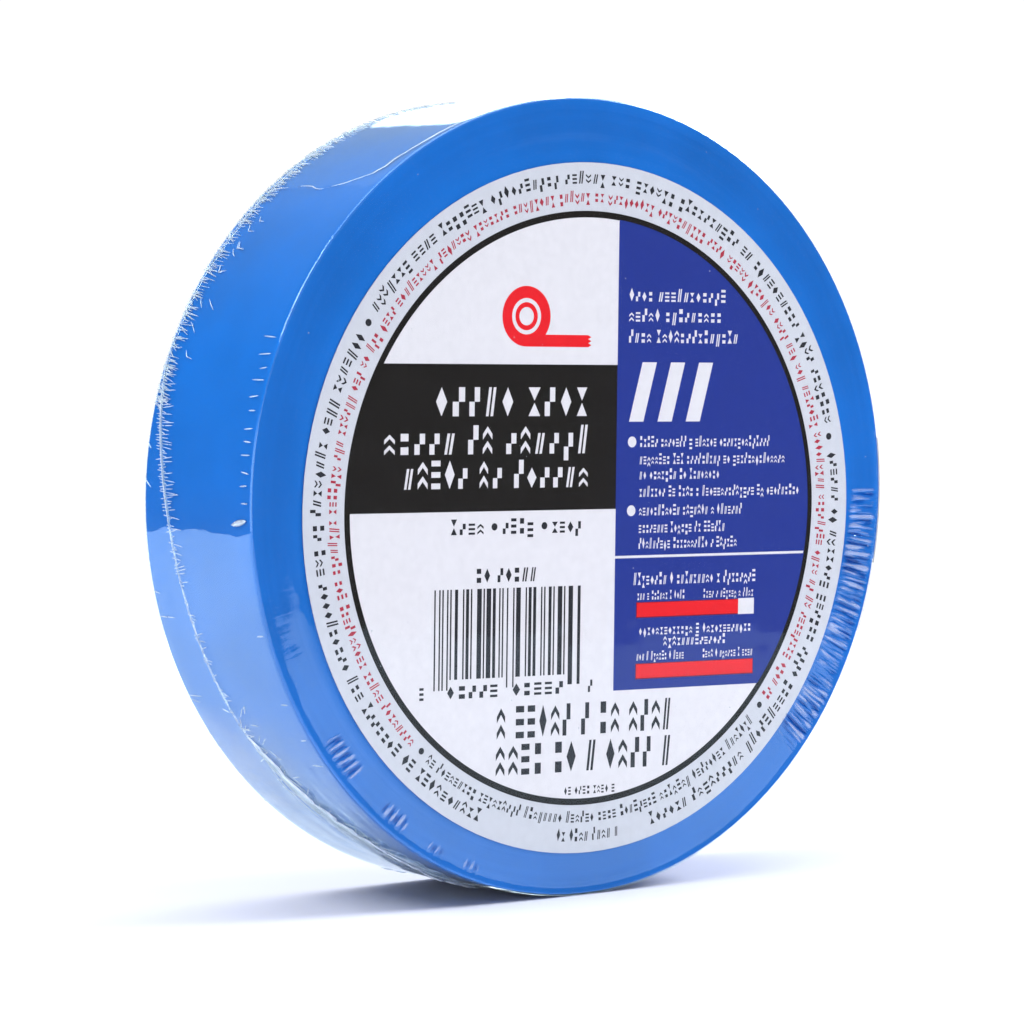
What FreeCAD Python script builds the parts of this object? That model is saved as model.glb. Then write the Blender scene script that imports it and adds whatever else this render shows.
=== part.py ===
"""A roll of vinyl tape on a paperboard core, with a round paper label, in clear shrink film. Millimetres.

The roll stands on its rim. Its axis is Y, its front face with the label looks along -Y, +Z is up, and the
origin is the middle of the core's bore. Every solid is first drawn about a local Z axis, with the front
face up, and upright() then turns it into place.

The tape is one strip, stuck to itself from the core to the free end. It has nodes of its own only for the
last turn and for the free end, which peels. The film is one bag, in two halves joined by a trim seal round
the rim. A flap of it lies on the tape's free end, in a slot where it tears when that end is pulled.
"""
import FreeCAD, Part
import math
import os

from FreeCAD import Rotation, Vector

# The tape: a one inch strip, 36 yards long.
TAPE_WIDTH = 25.4
ROLL_RADIUS = 54.5
TURNS = 110
ADHESIVE = 0.03

# The core: a three inch tube, wound from plies of paperboard, the inner one first.
BORE_RADIUS = 38.1
CORE_WIDTH = 25.2
PLIES = [
    ("core_inner_liner", 0.4),
    ("core_body_ply_1", 0.6),
    ("core_body_ply_2", 0.6),
    ("core_body_ply_3", 0.6),
    ("core_outer_ply", 0.3),
]
LINER_SEAM_GAP = 0.4
LINER_SEAM_LEAN = 32.0
LINER_SEAM_PLACE = 205.0

# The label: a paper disc over the core and part of the winding, laid on a little low and to the right.
LABEL_RADIUS = 47.3
LABEL_THICKNESS = 0.1
LABEL_CENTRE = (0.8, -1.5)
LABEL_GAP = 0.05

# The shrink film and its trim seal, which runs round the rim in a slightly tilted plane.
FILM = 0.06
FILM_GAP = 0.1
FILM_CORNER = 0.3
SEAL_DISTANCE = -6.0
SEAL_SLOPE = -0.105
SEAL_WIDTH = 0.5
SEAL_HEIGHT = 0.25

# The free end of the tape, on the right-hand side. Angles are from +X towards +Z, in degrees.
PEEL_ANGLE = 8.0
TIP_ANGLE = -11.0
PEEL_CLEARANCE = 0.02
SLOT_ABOVE = 0.5
SLOT_BELOW = 0.8
FLAP_MARGIN = 0.3

# What follows from them.
CORE_RADIUS = BORE_RADIUS + sum(thickness for _, thickness in PLIES)
TURN = (ROLL_RADIUS - CORE_RADIUS) / TURNS
FRONT = TAPE_WIDTH / 2
LABEL_BACK = FRONT + LABEL_GAP
LABEL_FRONT = LABEL_BACK + LABEL_THICKNESS
FILM_INNER = ROLL_RADIUS + FILM_GAP
FILM_OUTER = FILM_INNER + FILM
FILM_FRONT = LABEL_FRONT + FILM_GAP + FILM
FILM_REAR = -FRONT - FILM_GAP - FILM
FAR = 2 * ROLL_RADIUS

# The winding grows by a turn's thickness in four quarter arcs, about the corners of a small square.
GROWTH = TURN / 4
UP = Vector(0, 0, 1)


def direction(angle):
    """The unit vector at an angle in degrees, in the plane of the local X and Y."""
    return Vector(math.cos(math.radians(angle)), math.sin(math.radians(angle)), 0)


def upright(shape):
    """Turns a solid from its local axis Z to the roll's axis Y, front face towards -Y."""
    turned = shape.copy()
    turned.rotate(Vector(0, 0, 0), Vector(1, 0, 0), 90)
    return turned


def arc(centre, radius, start, end):
    """An arc between two angles, by way of the angle half way."""
    points = [centre + direction(angle) * radius for angle in (start, (start + end) / 2, end)]
    return Part.Arc(*points).toShape()


def line(a, b):
    return Part.LineSegment(a, b).toShape()


def prism(wires, low, high):
    """A solid from a closed outer wire and any inner ones, from the height low to high."""
    face = Part.Face(wires)
    face.translate(UP * low)
    return face.extrude(UP * (high - low))


def tube(inner, outer, low, high):
    solid = Part.makeCylinder(outer, high - low, UP * low)
    return solid.cut(Part.makeCylinder(inner, high - low, UP * low))


def sector(centre, inner, outer, start, end, low, high):
    """A slice of a tube between two angles, with radial ends."""
    rim = arc(centre, outer, start, end)
    root = arc(centre, inner, end, start)
    sides = [
        line(centre + direction(end) * outer, centre + direction(end) * inner),
        line(centre + direction(start) * inner, centre + direction(start) * outer),
    ]
    return prism([Part.Wire([rim, sides[0], root, sides[1]])], low, high)


def quarter(number):
    """The centre, the growth so far and the two end angles of one quarter of the last turn.

    The strip runs clockwise, seen from the front, and ends at the tip.
    """
    start = TIP_ANGLE + 360 - 90 * number
    first = (direction(TIP_ANGLE + 270) + direction(TIP_ANGLE + 180)) * (GROWTH / 2)
    centre = first
    for step in range(number):
        centre = centre - direction(TIP_ANGLE + 270 - 90 * step) * GROWTH
    return centre, number * GROWTH, start, start - 90


def spiral(radius, last_angle):
    """The arcs of one turn that starts at this radius, up to an angle in its last quarter."""
    arcs = []
    for number in range(4):
        centre, grown, start, end = quarter(number)
        arcs.append(arc(centre, radius + grown, start, last_angle if number == 3 else end))
    return arcs


def ends(edges):
    """The first and the last point of a chain of arcs."""
    return edges[0].Vertexes[0].Point, edges[-1].Vertexes[-1].Point


# The four arcs grow evenly about the origin, so the first one starts half a step inside the mean radius.
WOUND_RADIUS = ROLL_RADIUS - 2 * TURN
LAST_CENTRE, LAST_GROWTH, _, _ = quarter(3)
STRIP_INNER = WOUND_RADIUS + LAST_GROWTH
STRIP_OUTER = STRIP_INNER + TURN


def core_ply(name, inner, thickness):
    """One ply. The liner has the open butt joint of its strip, a narrow slit that leans along the bore."""
    ply = tube(inner, inner + thickness, -CORE_WIDTH / 2, CORE_WIDTH / 2)
    if name != "core_inner_liner":
        return ply
    length = 2 * CORE_WIDTH
    slit = Part.makeBox(
        4 * thickness, LINER_SEAM_GAP, length, Vector(inner - 2 * thickness, -LINER_SEAM_GAP / 2, -length / 2)
    )
    slit.rotate(Vector(inner, 0, 0), Vector(1, 0, 0), LINER_SEAM_LEAN)
    slit.rotate(Vector(0, 0, 0), UP, LINER_SEAM_PLACE)
    return ply.cut(slit)


def winding():
    """All the turns but the last, as one solid, with the small step where the last turn starts."""
    arcs = spiral(WOUND_RADIUS, TIP_ANGLE)
    first, last = ends(arcs)
    core = Part.Wire([Part.makeCircle(CORE_RADIUS)])
    return prism([Part.Wire(arcs + [line(last, first)]), core], -FRONT, FRONT)


def last_turn():
    """The strip's last turn, from the step to the peel line."""
    inner = spiral(WOUND_RADIUS, PEEL_ANGLE)
    outer = spiral(WOUND_RADIUS + TURN, PEEL_ANGLE)
    inner_first, inner_last = ends(inner)
    outer_first, outer_last = ends(outer)
    closed = inner + [line(inner_last, outer_last)] + outer[::-1] + [line(outer_first, inner_first)]
    return prism([Part.Wire(Part.__sortEdges__(closed))], -FRONT, FRONT)


def free_end(inner, outer):
    """A layer of the free end, between the peel line and the tip."""
    gap = math.degrees(PEEL_CLEARANCE / STRIP_OUTER)
    return sector(LAST_CENTRE, inner, outer, PEEL_ANGLE - gap, TIP_ANGLE, -FRONT, FRONT)


def label():
    x, z = LABEL_CENTRE
    return Part.makeCylinder(LABEL_RADIUS, LABEL_THICKNESS, Vector(x, z, LABEL_BACK))


def drum(radius, low, high, corner):
    """A closed drum with rounded rims, from which the film is cut."""
    solid = Part.makeCylinder(radius, high - low, UP * low)
    return solid.makeFillet(corner, [edge for edge in solid.Edges if edge.Closed and len(edge.Vertexes) == 1])


def seal_slab(low, high):
    """The space between two planes that are parallel to the trim seal's, at these distances from it."""
    slab = Part.makeBox(2 * FAR, 2 * FAR, high - low, Vector(-FAR, -FAR, low))
    lean = math.degrees(math.atan(SEAL_SLOPE))
    slab.rotate(Vector(0, 0, 0), Vector(1, 0, 0), lean)
    slab.translate(UP * SEAL_DISTANCE)
    return slab


def slot():
    """The space round the free end that the film leaves open, from one rim to the other."""
    start, end = PEEL_ANGLE + SLOT_ABOVE, TIP_ANGLE - SLOT_BELOW
    return sector(
        Vector(0, 0, 0), ROLL_RADIUS - FILM_CORNER, FAR, start, end, FILM_REAR + FILM, FILM_FRONT - FILM
    )


def film():
    """The whole bag, still without its seal."""
    outside = drum(FILM_OUTER, FILM_REAR, FILM_FRONT, FILM_CORNER)
    inside = drum(FILM_INNER, FILM_REAR + FILM, FILM_FRONT - FILM, FILM_CORNER - FILM)
    return outside.cut(inside).cut(slot())


def film_half(front):
    """The half of the bag in front of the seal, or the one behind it."""
    return film().common(seal_slab(0, FAR) if front else seal_slab(-FAR, 0))


def trim_seal():
    """The welded bead, just behind the seal's plane. It stops at the slot, and is flat where the roll stands."""
    ring = tube(FILM_OUTER, FILM_OUTER + SEAL_HEIGHT, FILM_REAR, FILM_FRONT)
    floor = Part.makeBox(2 * FAR, FAR, 2 * TAPE_WIDTH, Vector(-FAR, -FILM_OUTER - FAR, -TAPE_WIDTH))
    return ring.common(seal_slab(-SEAL_WIDTH, 0)).cut([slot(), floor])


def film_flap():
    """The film on the free end, clear of the slot's edges."""
    start, end = PEEL_ANGLE - FLAP_MARGIN, TIP_ANGLE - FLAP_MARGIN
    return sector(Vector(0, 0, 0), FILM_INNER, FILM_OUTER, start, end, -FRONT, FRONT)


def assembly():
    """Every node's name and solid."""
    nodes = {}
    radius = BORE_RADIUS
    for name, thickness in PLIES:
        nodes[name] = core_ply(name, radius, thickness)
        radius += thickness
    nodes["tape_winding"] = winding()
    nodes["tape_last_turn"] = last_turn()
    nodes["tape_free_end_backing"] = free_end(STRIP_INNER + PEEL_CLEARANCE + ADHESIVE, STRIP_OUTER)
    nodes["tape_free_end_adhesive"] = free_end(STRIP_INNER + PEEL_CLEARANCE, STRIP_INNER + PEEL_CLEARANCE + ADHESIVE)
    nodes["label_disc"] = label()
    nodes["shrink_film_front"] = film_half(True)
    nodes["shrink_film_rear"] = film_half(False)
    nodes["shrink_film_trim_seal"] = trim_seal()
    nodes["shrink_film_tear_flap"] = film_flap()
    return nodes


def peel_line():
    """A point of the peel line, on the strip's outer face, in the roll's own frame."""
    point = LAST_CENTRE + direction(PEEL_ANGLE) * STRIP_OUTER
    return Rotation(Vector(1, 0, 0), 90).multVec(point)


os.makedirs("parts", exist_ok=True)
for node, solid in assembly().items():
    placed = upright(solid)
    placed.exportStep("parts/" + node + ".step")
    box = placed.BoundBox
    size = "%.2f x %.2f x %.2f" % (box.XLength, box.YLength, box.ZLength)
    print(node, "valid" if placed.isValid() else "INVALID", "solids", len(placed.Solids), size)
length = math.pi * (ROLL_RADIUS**2 - CORE_RADIUS**2) / TURN / 1000
print("turn %.4f mm, tape %.2f m" % (TURN, length))
print("peel line", peel_line())
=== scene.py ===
import math
import random

import bpy
import numpy as np
from mathutils import Matrix, Vector


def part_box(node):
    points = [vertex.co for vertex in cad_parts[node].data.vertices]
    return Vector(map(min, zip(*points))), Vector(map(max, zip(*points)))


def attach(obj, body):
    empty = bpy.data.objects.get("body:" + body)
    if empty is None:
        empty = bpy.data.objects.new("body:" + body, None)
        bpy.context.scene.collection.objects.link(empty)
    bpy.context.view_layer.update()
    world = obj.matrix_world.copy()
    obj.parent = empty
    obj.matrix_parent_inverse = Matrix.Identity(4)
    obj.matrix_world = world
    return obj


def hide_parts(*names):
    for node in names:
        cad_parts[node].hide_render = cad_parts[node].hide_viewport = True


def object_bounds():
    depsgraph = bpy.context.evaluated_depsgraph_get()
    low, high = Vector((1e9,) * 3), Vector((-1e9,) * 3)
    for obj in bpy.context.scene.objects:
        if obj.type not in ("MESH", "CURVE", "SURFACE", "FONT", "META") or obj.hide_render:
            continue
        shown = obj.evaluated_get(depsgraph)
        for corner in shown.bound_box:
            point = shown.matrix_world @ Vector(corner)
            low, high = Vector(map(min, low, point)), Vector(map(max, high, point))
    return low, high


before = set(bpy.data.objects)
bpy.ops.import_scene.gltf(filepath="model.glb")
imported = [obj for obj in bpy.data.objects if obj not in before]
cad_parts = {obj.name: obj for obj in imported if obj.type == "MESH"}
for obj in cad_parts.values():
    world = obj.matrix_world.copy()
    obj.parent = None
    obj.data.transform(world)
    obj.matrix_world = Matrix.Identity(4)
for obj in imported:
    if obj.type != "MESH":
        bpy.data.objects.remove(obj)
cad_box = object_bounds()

MM = 0.001
rng = random.Random(7)

# Sizes that the frame gives, in millimetres.
FILM_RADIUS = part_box("shrink_film_front")[1].z / MM
FILM_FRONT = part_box("shrink_film_front")[0].y / MM
FILM_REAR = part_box("shrink_film_rear")[1].y / MM
LABEL_LOW, LABEL_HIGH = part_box("label_disc")
LABEL_CENTRE = ((LABEL_LOW.x + LABEL_HIGH.x) / 2 / MM, (LABEL_LOW.z + LABEL_HIGH.z) / 2 / MM)
LABEL_FRONT = LABEL_LOW.y / MM
CORE_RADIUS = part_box("core_outer_ply")[1].x / MM
TAPE_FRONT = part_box("tape_winding")[0].y / MM
TAPE_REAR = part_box("tape_winding")[1].y / MM

# The tape's spiral, as in the CAD model.
ROLL_RADIUS = 54.5
TURNS = 110
TURN = (ROLL_RADIUS - CORE_RADIUS) / TURNS
TIP_ANGLE = -11.0
PEEL_ANGLE = 8.0

# The film, and the slot in it where the free end's flap lies.
FILM_THICKNESS = 0.04
FILM_CORNER = 0.4
WALL = FILM_RADIUS - FILM_THICKNESS / 2
SLOT = (TIP_ANGLE - 0.8, PEEL_ANGLE + 0.15)
SLOT_ROOT = 54.1
FLAP_CLEARANCE = 0.5
COLUMNS_PER_DEGREE = 2

# The trim seal crosses the rim in a sloping line that wanders where the film was drawn in unevenly.
SEAL_MIDDLE = 6.0
SEAL_SLOPE = 0.105
SEAL_DRIFTS = [(158.0, 20.0, 3.9), (242.0, 16.0, -4.2)]
SEAL_LIMIT = 11.9
SEAL_GAP = 0.7
SEAL_OFFSET = 0.12

# The gathered film low on the left: its middle and reach, round the roll and along the axis.
GATHER_ANGLE, GATHER_SPREAD = 238, 17
GATHER_PLACE, GATHER_REACH = -1.5, 7.5
# Degrees round the roll from one scallop of its trimmed edge to the next.
SCALLOP = 4.2

# The ripples in the film between the label and the front rim, and the radii where they start and end.
RIPPLE_ANGLE = -22.0
RIPPLE_REACH = 24.0
RIPPLE_BAND = (48.3, 49.6, 52.9, 54.0)
# The short dents there: middle and reach in degrees, and the radii between which they lie.
DENTS = [
    (-140.5, 4.2, 50.0, 53.6), (-127.5, 3.0, 50.6, 53.7),
    (-118.5, 1.8, 51.6, 53.8), (-111.5, 1.8, 51.6, 53.8),
]
DENT_PITCH = 1.25
# Arcs are measured at this radius.
RIPPLE_RADIUS = 52.0

# How the film looks. Its wall ends and a face begins between two distances from the middle, in metres.
WALL_END, FACE_START = 0.0123, 0.0126
FACE_SHINE = 0.55
LABEL_SHINE = 0.28
LABEL_CLING = (47.8, 49.2)
HAZE_ANGLE = 240.0
HAZE_NEAR, HAZE_FAR = -0.006, 0.009
HAZE_EDGE, HAZE_FULL = 0.86, 0.985


# ---- meshes

def make_piece(name, points, faces, material, body, smooth=True):
    """A mesh object from points in millimetres, riding on a body."""
    mesh = bpy.data.meshes.new(name)
    # What would stand out of the CAD model's box is pressed flat against it.
    points = np.clip(np.asarray(points, dtype=float) * MM, list(cad_box[0]), list(cad_box[1]))
    mesh.from_pydata(points.tolist(), [], faces)
    mesh.update()
    if smooth:
        mesh.shade_smooth()
    else:
        mesh.shade_flat()
    piece = bpy.data.objects.new(name, mesh)
    link(piece)
    mesh.materials.append(material)
    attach(piece, body)
    return piece


def link(thing):
    bpy.context.scene.collection.objects.link(thing)


def thicken(piece, offset):
    """Give a sheet the thickness of the film, inwards for -1 and outwards for 1."""
    shell = piece.modifiers.new("thickness", "SOLIDIFY")
    shell.thickness = FILM_THICKNESS * MM
    shell.offset = offset


def around(angle, radius, y):
    """A point, or an array of points, at an angle in degrees, a radius and a place along the axis."""
    turn = np.radians(angle)
    return np.stack(np.broadcast_arrays(radius * np.cos(turn), y, radius * np.sin(turn)), axis=-1)


def grid_faces(rows, columns, closed, skip=None):
    """Quads between the rows and columns of a grid of points, numbered row by row."""
    faces = []
    last = columns if closed else columns - 1
    for row in range(rows - 1):
        for column in range(last):
            if skip is not None and skip(row, column):
                continue
            following = (column + 1) % columns
            low, high = row * columns, (row + 1) * columns
            faces.append((low + column, low + following, high + following, high + column))
    return faces


def lattice_noise(seed, u, v, period):
    """Smooth noise from -1 to 1. u and v count lattice cells, and u repeats after period cells."""
    generator = np.random.default_rng(seed)
    size = 64
    table = generator.uniform(-1, 1, (period, size))
    u0, v0 = np.floor(u).astype(int), np.floor(v).astype(int)
    du, dv = u - u0, v - v0
    du, dv = du * du * (3 - 2 * du), dv * dv * (3 - 2 * dv)
    corners = [table[(u0 + i) % period, (v0 + j) % size] for i in (0, 1) for j in (0, 1)]
    low = corners[0] * (1 - dv) + corners[1] * dv
    high = corners[2] * (1 - dv) + corners[3] * dv
    return low * (1 - du) + high * du


def bump(value, centre, width):
    """A soft bump of height 1 round a centre. Angles wrap."""
    distance = (value - centre + 180) % 360 - 180
    return np.exp(-((distance / width) ** 2))


# ---- materials

class Nodes:
    """A new material or world made of nodes, with short calls for adding and joining them."""

    def __init__(self, name, kind="Material", place="Object"):
        library = bpy.data.materials if kind == "Material" else bpy.data.worlds
        self.owner = library.new(name)
        self.owner.use_nodes = True
        self.tree = self.owner.node_tree
        self.tree.nodes.clear()
        self.output = self.add("Output" + kind)
        self.place = self.add("TexCoord").outputs[place]

    def add(self, kind, inputs=None, **settings):
        node = self.tree.nodes.new("ShaderNode" + kind)
        for key, value in settings.items():
            setattr(node, key, value)
        for key, value in (inputs or {}).items():
            if isinstance(value, bpy.types.NodeSocket):
                self.tree.links.new(value, node.inputs[key])
            else:
                node.inputs[key].default_value = value
        return node

    def noise(self, scale, detail=3.0, roughness=0.5, stretch=None):
        """Noise with features about 1 / scale millimetres wide, or stretched by three factors."""
        place = self.place
        if stretch:
            place = self.add("Mapping", {"Vector": place, "Scale": stretch}).outputs["Vector"]
        inputs = {"Vector": place, "Scale": scale / MM, "Detail": detail, "Roughness": roughness}
        return self.add("TexNoise", inputs).outputs["Fac"]

    def radius(self):
        """The distance from the roll's axis, in millimetres."""
        flat = self.add("VectorMath", {0: self.place, 1: (1 / MM, 0, 1 / MM)}, operation="MULTIPLY")
        return self.add("VectorMath", {0: flat.outputs[0]}, operation="LENGTH").outputs["Value"]

    def math(self, operation, a, b=0.0, clamp=False):
        return self.add("Math", {0: a, 1: b}, operation=operation, use_clamp=clamp).outputs[0]

    def times(self, a, b):
        return self.math("MULTIPLY", a, b)

    def plus(self, a, b):
        return self.math("ADD", a, b)

    def grey(self, level):
        """A colour with the same level in all three channels."""
        return self.add("CombineColor", {0: level, 1: level, 2: level}).outputs[0]

    def span(self, value, low, high, from_low=0.0, from_high=1.0):
        """A value brought from one range to another."""
        inputs = {
            "Value": value, "From Min": from_low, "From Max": from_high, "To Min": low, "To Max": high,
        }
        return self.add("MapRange", inputs).outputs["Result"]

    def mix_values(self, factor, a, b):
        return self.add("Mix", {0: factor, 2: a, 3: b}, data_type="FLOAT").outputs[0]

    def mix(self, factor, a, b, blend="MIX"):
        node = self.add("Mix", {0: factor, 6: a, 7: b}, data_type="RGBA", blend_type=blend)
        return node.outputs[2]

    def bumps(self, height, distance, strength=1.0, normal=None):
        """A normal from a height, whose full range stands for a distance in millimetres."""
        inputs = {"Height": height, "Distance": distance * MM, "Strength": strength}
        if normal:
            inputs["Normal"] = normal
        return self.add("Bump", inputs).outputs["Normal"]

    def principled(self, inputs):
        return self.finish(self.add("BsdfPrincipled", inputs).outputs[0])

    def finish(self, shader):
        self.tree.links.new(shader, self.output.inputs["Surface"])
        return self.owner


def colour(red, green, blue):
    return (red, green, blue, 1.0)


def vinyl_material(name, shade):
    """Calendered blue vinyl: even colour with faint clouding, a satin skin and a fine lengthwise grain."""
    n = Nodes(name)
    clouds = n.noise(0.06, 2.0)
    # Seen from the side, the turns show as fine rings, a few of them paler where the wind tension changed.
    radius = n.radius()
    rings = n.add("TexNoise", {"W": radius, "Scale": 5.0, "Detail": 3.0}, noise_dimensions="1D")
    wide = n.add("TexNoise", {"W": radius, "Scale": 0.7, "Detail": 1.0}, noise_dimensions="1D")
    depth = n.times(n.span(clouds, 0.9, 1.1, 0.3, 0.7), n.span(rings.outputs["Fac"], 0.98, 1.02))
    depth = n.times(depth, n.span(wide.outputs["Fac"], 0.985, 1.015, 0.3, 0.7))
    base = n.mix(1.0, colour(*shade), n.grey(depth), "MULTIPLY")
    inputs = {
        "Base Color": base, "Roughness": n.span(n.noise(0.4, 3.0), 0.3, 0.42), "IOR": 1.5,
        "Normal": n.bumps(n.noise(2.5, 4.0, 0.6), 0.006, 0.6), "Specular IOR Level": 0.22,
    }
    return n.principled(inputs)


def adhesive_material():
    """The rubbery coat on the back of the tape, tinted by the vinyl behind it."""
    n = Nodes("tape_adhesive")
    base = n.mix(n.noise(0.8, 4.0), colour(0.012, 0.12, 0.5), colour(0.02, 0.17, 0.58))
    normal = n.bumps(n.noise(1.6, 5.0, 0.7), 0.02)
    roughness = n.span(n.noise(0.9, 2.0), 0.12, 0.3)
    return n.principled({"Base Color": base, "Roughness": roughness, "Normal": normal})


def board_material(name, dark, light):
    """Wound paperboard: felted fibres, flecks and a dry, matte surface."""
    n = Nodes(name)
    fibres = n.noise(0.7, 8.0, 0.75, stretch=(1.0, 3.0, 1.0))
    flecks = n.span(n.noise(1.8, 2.0), 0.0, 1.0, 0.62, 0.7)
    base = n.mix(n.span(fibres, 0.0, 1.0, 0.3, 0.7), colour(*dark), colour(*light))
    base = n.mix(n.times(flecks, 0.5), base, colour(*(part * 0.5 for part in dark)))
    roughness = n.span(fibres, 0.8, 0.95)
    return n.principled({"Base Color": base, "Roughness": roughness, "Normal": n.bumps(fibres, 0.05)})


def print_material(name, shade, coat):
    """Coated paper or ink on it: slightly mottled colour over a fine paper tooth."""
    n = Nodes(name)
    mottle = n.span(n.noise(0.8, 5.0, 0.65), 0.96, 1.03, 0.3, 0.7)
    inputs = {
        "Base Color": n.mix(1.0, colour(*shade), n.grey(mottle), "MULTIPLY"),
        "Roughness": n.span(n.noise(1.2, 3.0), coat - 0.08, coat + 0.08),
        "Normal": n.bumps(n.noise(4.0, 3.0), 0.002, 0.5), "Specular IOR Level": 0.15,
    }
    return n.principled(inputs)


def film_material(name, haze, roughness, shine, shell=False):
    """Clear shrink film: it lets what is under it show, and mirrors more the more it is seen edge on."""
    n = Nodes(name)
    # Drawn film is never quite flat: broad undulations, and short ripples across the pull.
    normal = n.bumps(n.noise(0.12, 2.0), 0.06 if shell else 0.12)
    normal = n.bumps(n.noise(0.5, 3.0, 0.5, stretch=(1.0, 0.35, 1.0)), 0.003, 1.0, normal)
    scuffs_and_painted_highlight = n.span(n.noise(0.35, 6.0, 0.7), haze * 0.3, haze, 0.35, 0.75)
    clear = colour(0.99, 0.993, 1.0)
    if shell:
        # On the faces it is drawn tight, and on the label it clings so close that less of it shows.
        split = n.add("SeparateXYZ", {0: n.place})
        on_face = n.span(n.math("ABSOLUTE", split.outputs["Y"]), 0.0, 1.0, WALL_END, FACE_START)
        loose = n.span(n.radius(), LABEL_SHINE, 1.0, *LABEL_CLING)
        shine = n.mix_values(on_face, shine, n.times(loose, shine * FACE_SHINE))
        ripples = face_ripples(n, split)
        normal = n.bumps(ripples, 0.08, 1.0, normal)
        # Painted highlight: the haze is made whiter on the ripples' crests, on top of the scuffs and the
        # gathered film's haze.
        painted_crest_highlight = n.span(ripples, 0.0, 0.18, 0.55, 0.8)
        scuffs_and_painted_highlight = n.plus(scuffs_and_painted_highlight, n.plus(painted_crest_highlight, gathered_haze(n, split, on_face)))
        # Painted shade: the film's see-through colour is made darker in the ripples' hollows.
        clear = n.mix(n.span(ripples, 1.0, 0.0, 0.15, 0.44), clear, colour(0.55, 0.66, 0.80))
    facing = n.add("LayerWeight", {"Blend": 0.5, "Normal": normal}).outputs["Facing"]
    facing = n.math("POWER", facing, 5.0)
    mirror = n.math("ADD", shine, n.times(facing, 0.93), clamp=True)
    gloss = n.add("BsdfGlossy", {
        "Color": n.mix(facing, colour(0.70, 0.95, 1.0), colour(1.0, 1.0, 1.0)), "Normal": normal,
        "Roughness": n.span(n.noise(0.5, 3.0), roughness * 0.6, roughness * 1.4),
    })
    clear = n.add("BsdfTransparent", {"Color": clear})
    mist = n.add("BsdfDiffuse", {"Color": colour(0.86, 0.90, 1.0), "Normal": normal})
    body = n.add("MixShader", {0: scuffs_and_painted_highlight, 1: clear.outputs[0], 2: mist.outputs[0]})
    whole = n.add("MixShader", {0: mirror, 1: body.outputs[0], 2: gloss.outputs[0]})
    return n.finish(whole.outputs[0])


def face_ripples(n, split):
    """The height of the ripples in the film between the label and the front rim. It is 0.5 where flat.

    Long wavy ones lie low on the right, and groups of short dents low on the left. Besides the bump, the
    film's shell uses this height for a painted highlight on the crests and painted shade in the hollows.
    """
    radius = n.radius()
    angle = n.math("ARCTAN2", split.outputs["Z"], split.outputs["X"])
    along = n.times(angle, RIPPLE_RADIUS)
    polar = n.add("CombineXYZ", {0: along, 1: n.times(radius, 0.09)}).outputs[0]
    waves = n.add("TexNoise", {
        "Vector": polar, "Scale": 1.5, "Detail": 1.5, "Roughness": 0.5, "Distortion": 0.25,
    }).outputs["Fac"]
    start, full, fading, end = RIPPLE_BAND
    ring = n.times(n.span(radius, 0.0, 1.0, start, full), n.span(radius, 1.0, 0.0, fading, end))
    ring = n.times(n.span(split.outputs["Y"], 1.0, 0.0, -FACE_START, -WALL_END), ring)
    patches = n.span(n.noise(0.13, 2.0), 0.45, 1.0, 0.4, 0.6)
    patches = n.times(patches, near(n, angle, RIPPLE_ANGLE, RIPPLE_REACH))
    height = n.times(n.span(waves, -1.7, 1.7), patches)
    phase = n.plus(n.times(along, math.tau / DENT_PITCH), n.span(waves, -3.0, 3.0))
    dents = n.math("SINE", n.plus(phase, n.times(radius, 1.2)))
    for middle, reach, inner, outer in DENTS:
        place = n.times(near(n, angle, middle, reach), n.span(radius, 0.0, 0.3, inner, inner + 1.2))
        place = n.times(place, n.span(radius, 1.0, 0.0, outer - 1.2, outer))
        height = n.plus(height, n.times(dents, place))
    grains = n.add("TexNoise", {"Vector": polar, "Scale": 1.3, "Detail": 4.0}).outputs["Fac"]
    height = n.plus(height, n.span(grains, -0.05, 0.05))
    return n.plus(n.times(height, ring), 0.5)


def near(n, angle, middle, reach):
    """1 near an angle round the roll and 0 beyond its reach. These two are in degrees, from -180 to 180."""
    away = n.math("ABSOLUTE", n.math("SUBTRACT", angle, math.radians(middle)))
    return n.span(away, 1.0, 0.0, math.radians(reach) * 0.75, math.radians(reach))


def gathered_haze(n, split, on_face):
    """Haze low on the left of the wall, where the film was gathered in layers. It is thickest at the back."""
    turn = math.radians(HAZE_ANGLE)
    way = n.add("VectorMath", {0: n.place, 1: (1.0, 0.0, 1.0)}, operation="MULTIPLY").outputs[0]
    way = n.add("VectorMath", {0: way}, operation="NORMALIZE").outputs[0]
    toward = n.add("VectorMath", {0: way, 1: (math.cos(turn), 0.0, math.sin(turn))},
                   operation="DOT_PRODUCT").outputs["Value"]
    layers = n.times(n.span(toward, 0.0, 0.3, HAZE_EDGE, HAZE_FULL),
                     n.span(split.outputs["Y"], 0.15, 1.0, HAZE_NEAR, HAZE_FAR))
    streaks = n.span(n.noise(0.3, 4.0, 0.6, stretch=(1.0, 0.4, 1.0)), 0.55, 1.0, 0.35, 0.6)
    return n.times(n.times(layers, streaks), n.math("SUBTRACT", 1.0, on_face))


def floor_material():
    """A pale, matte table top."""
    inputs = {"Base Color": colour(0.565, 0.585, 0.67), "Roughness": 0.9, "Specular IOR Level": 0.1}
    return Nodes("studio_floor").principled(inputs)


INK_SHADES = {
    "white": (0.76, 0.735, 0.74),
    "black": (0.008, 0.006, 0.004),
    "blue": (0.016, 0.036, 0.25),
    "red": (0.80, 0.012, 0.018),
    "rose": (0.42, 0.03, 0.055),
    "maroon": (0.16, 0.01, 0.03),
    "grey": (0.022, 0.022, 0.026),
}

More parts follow.
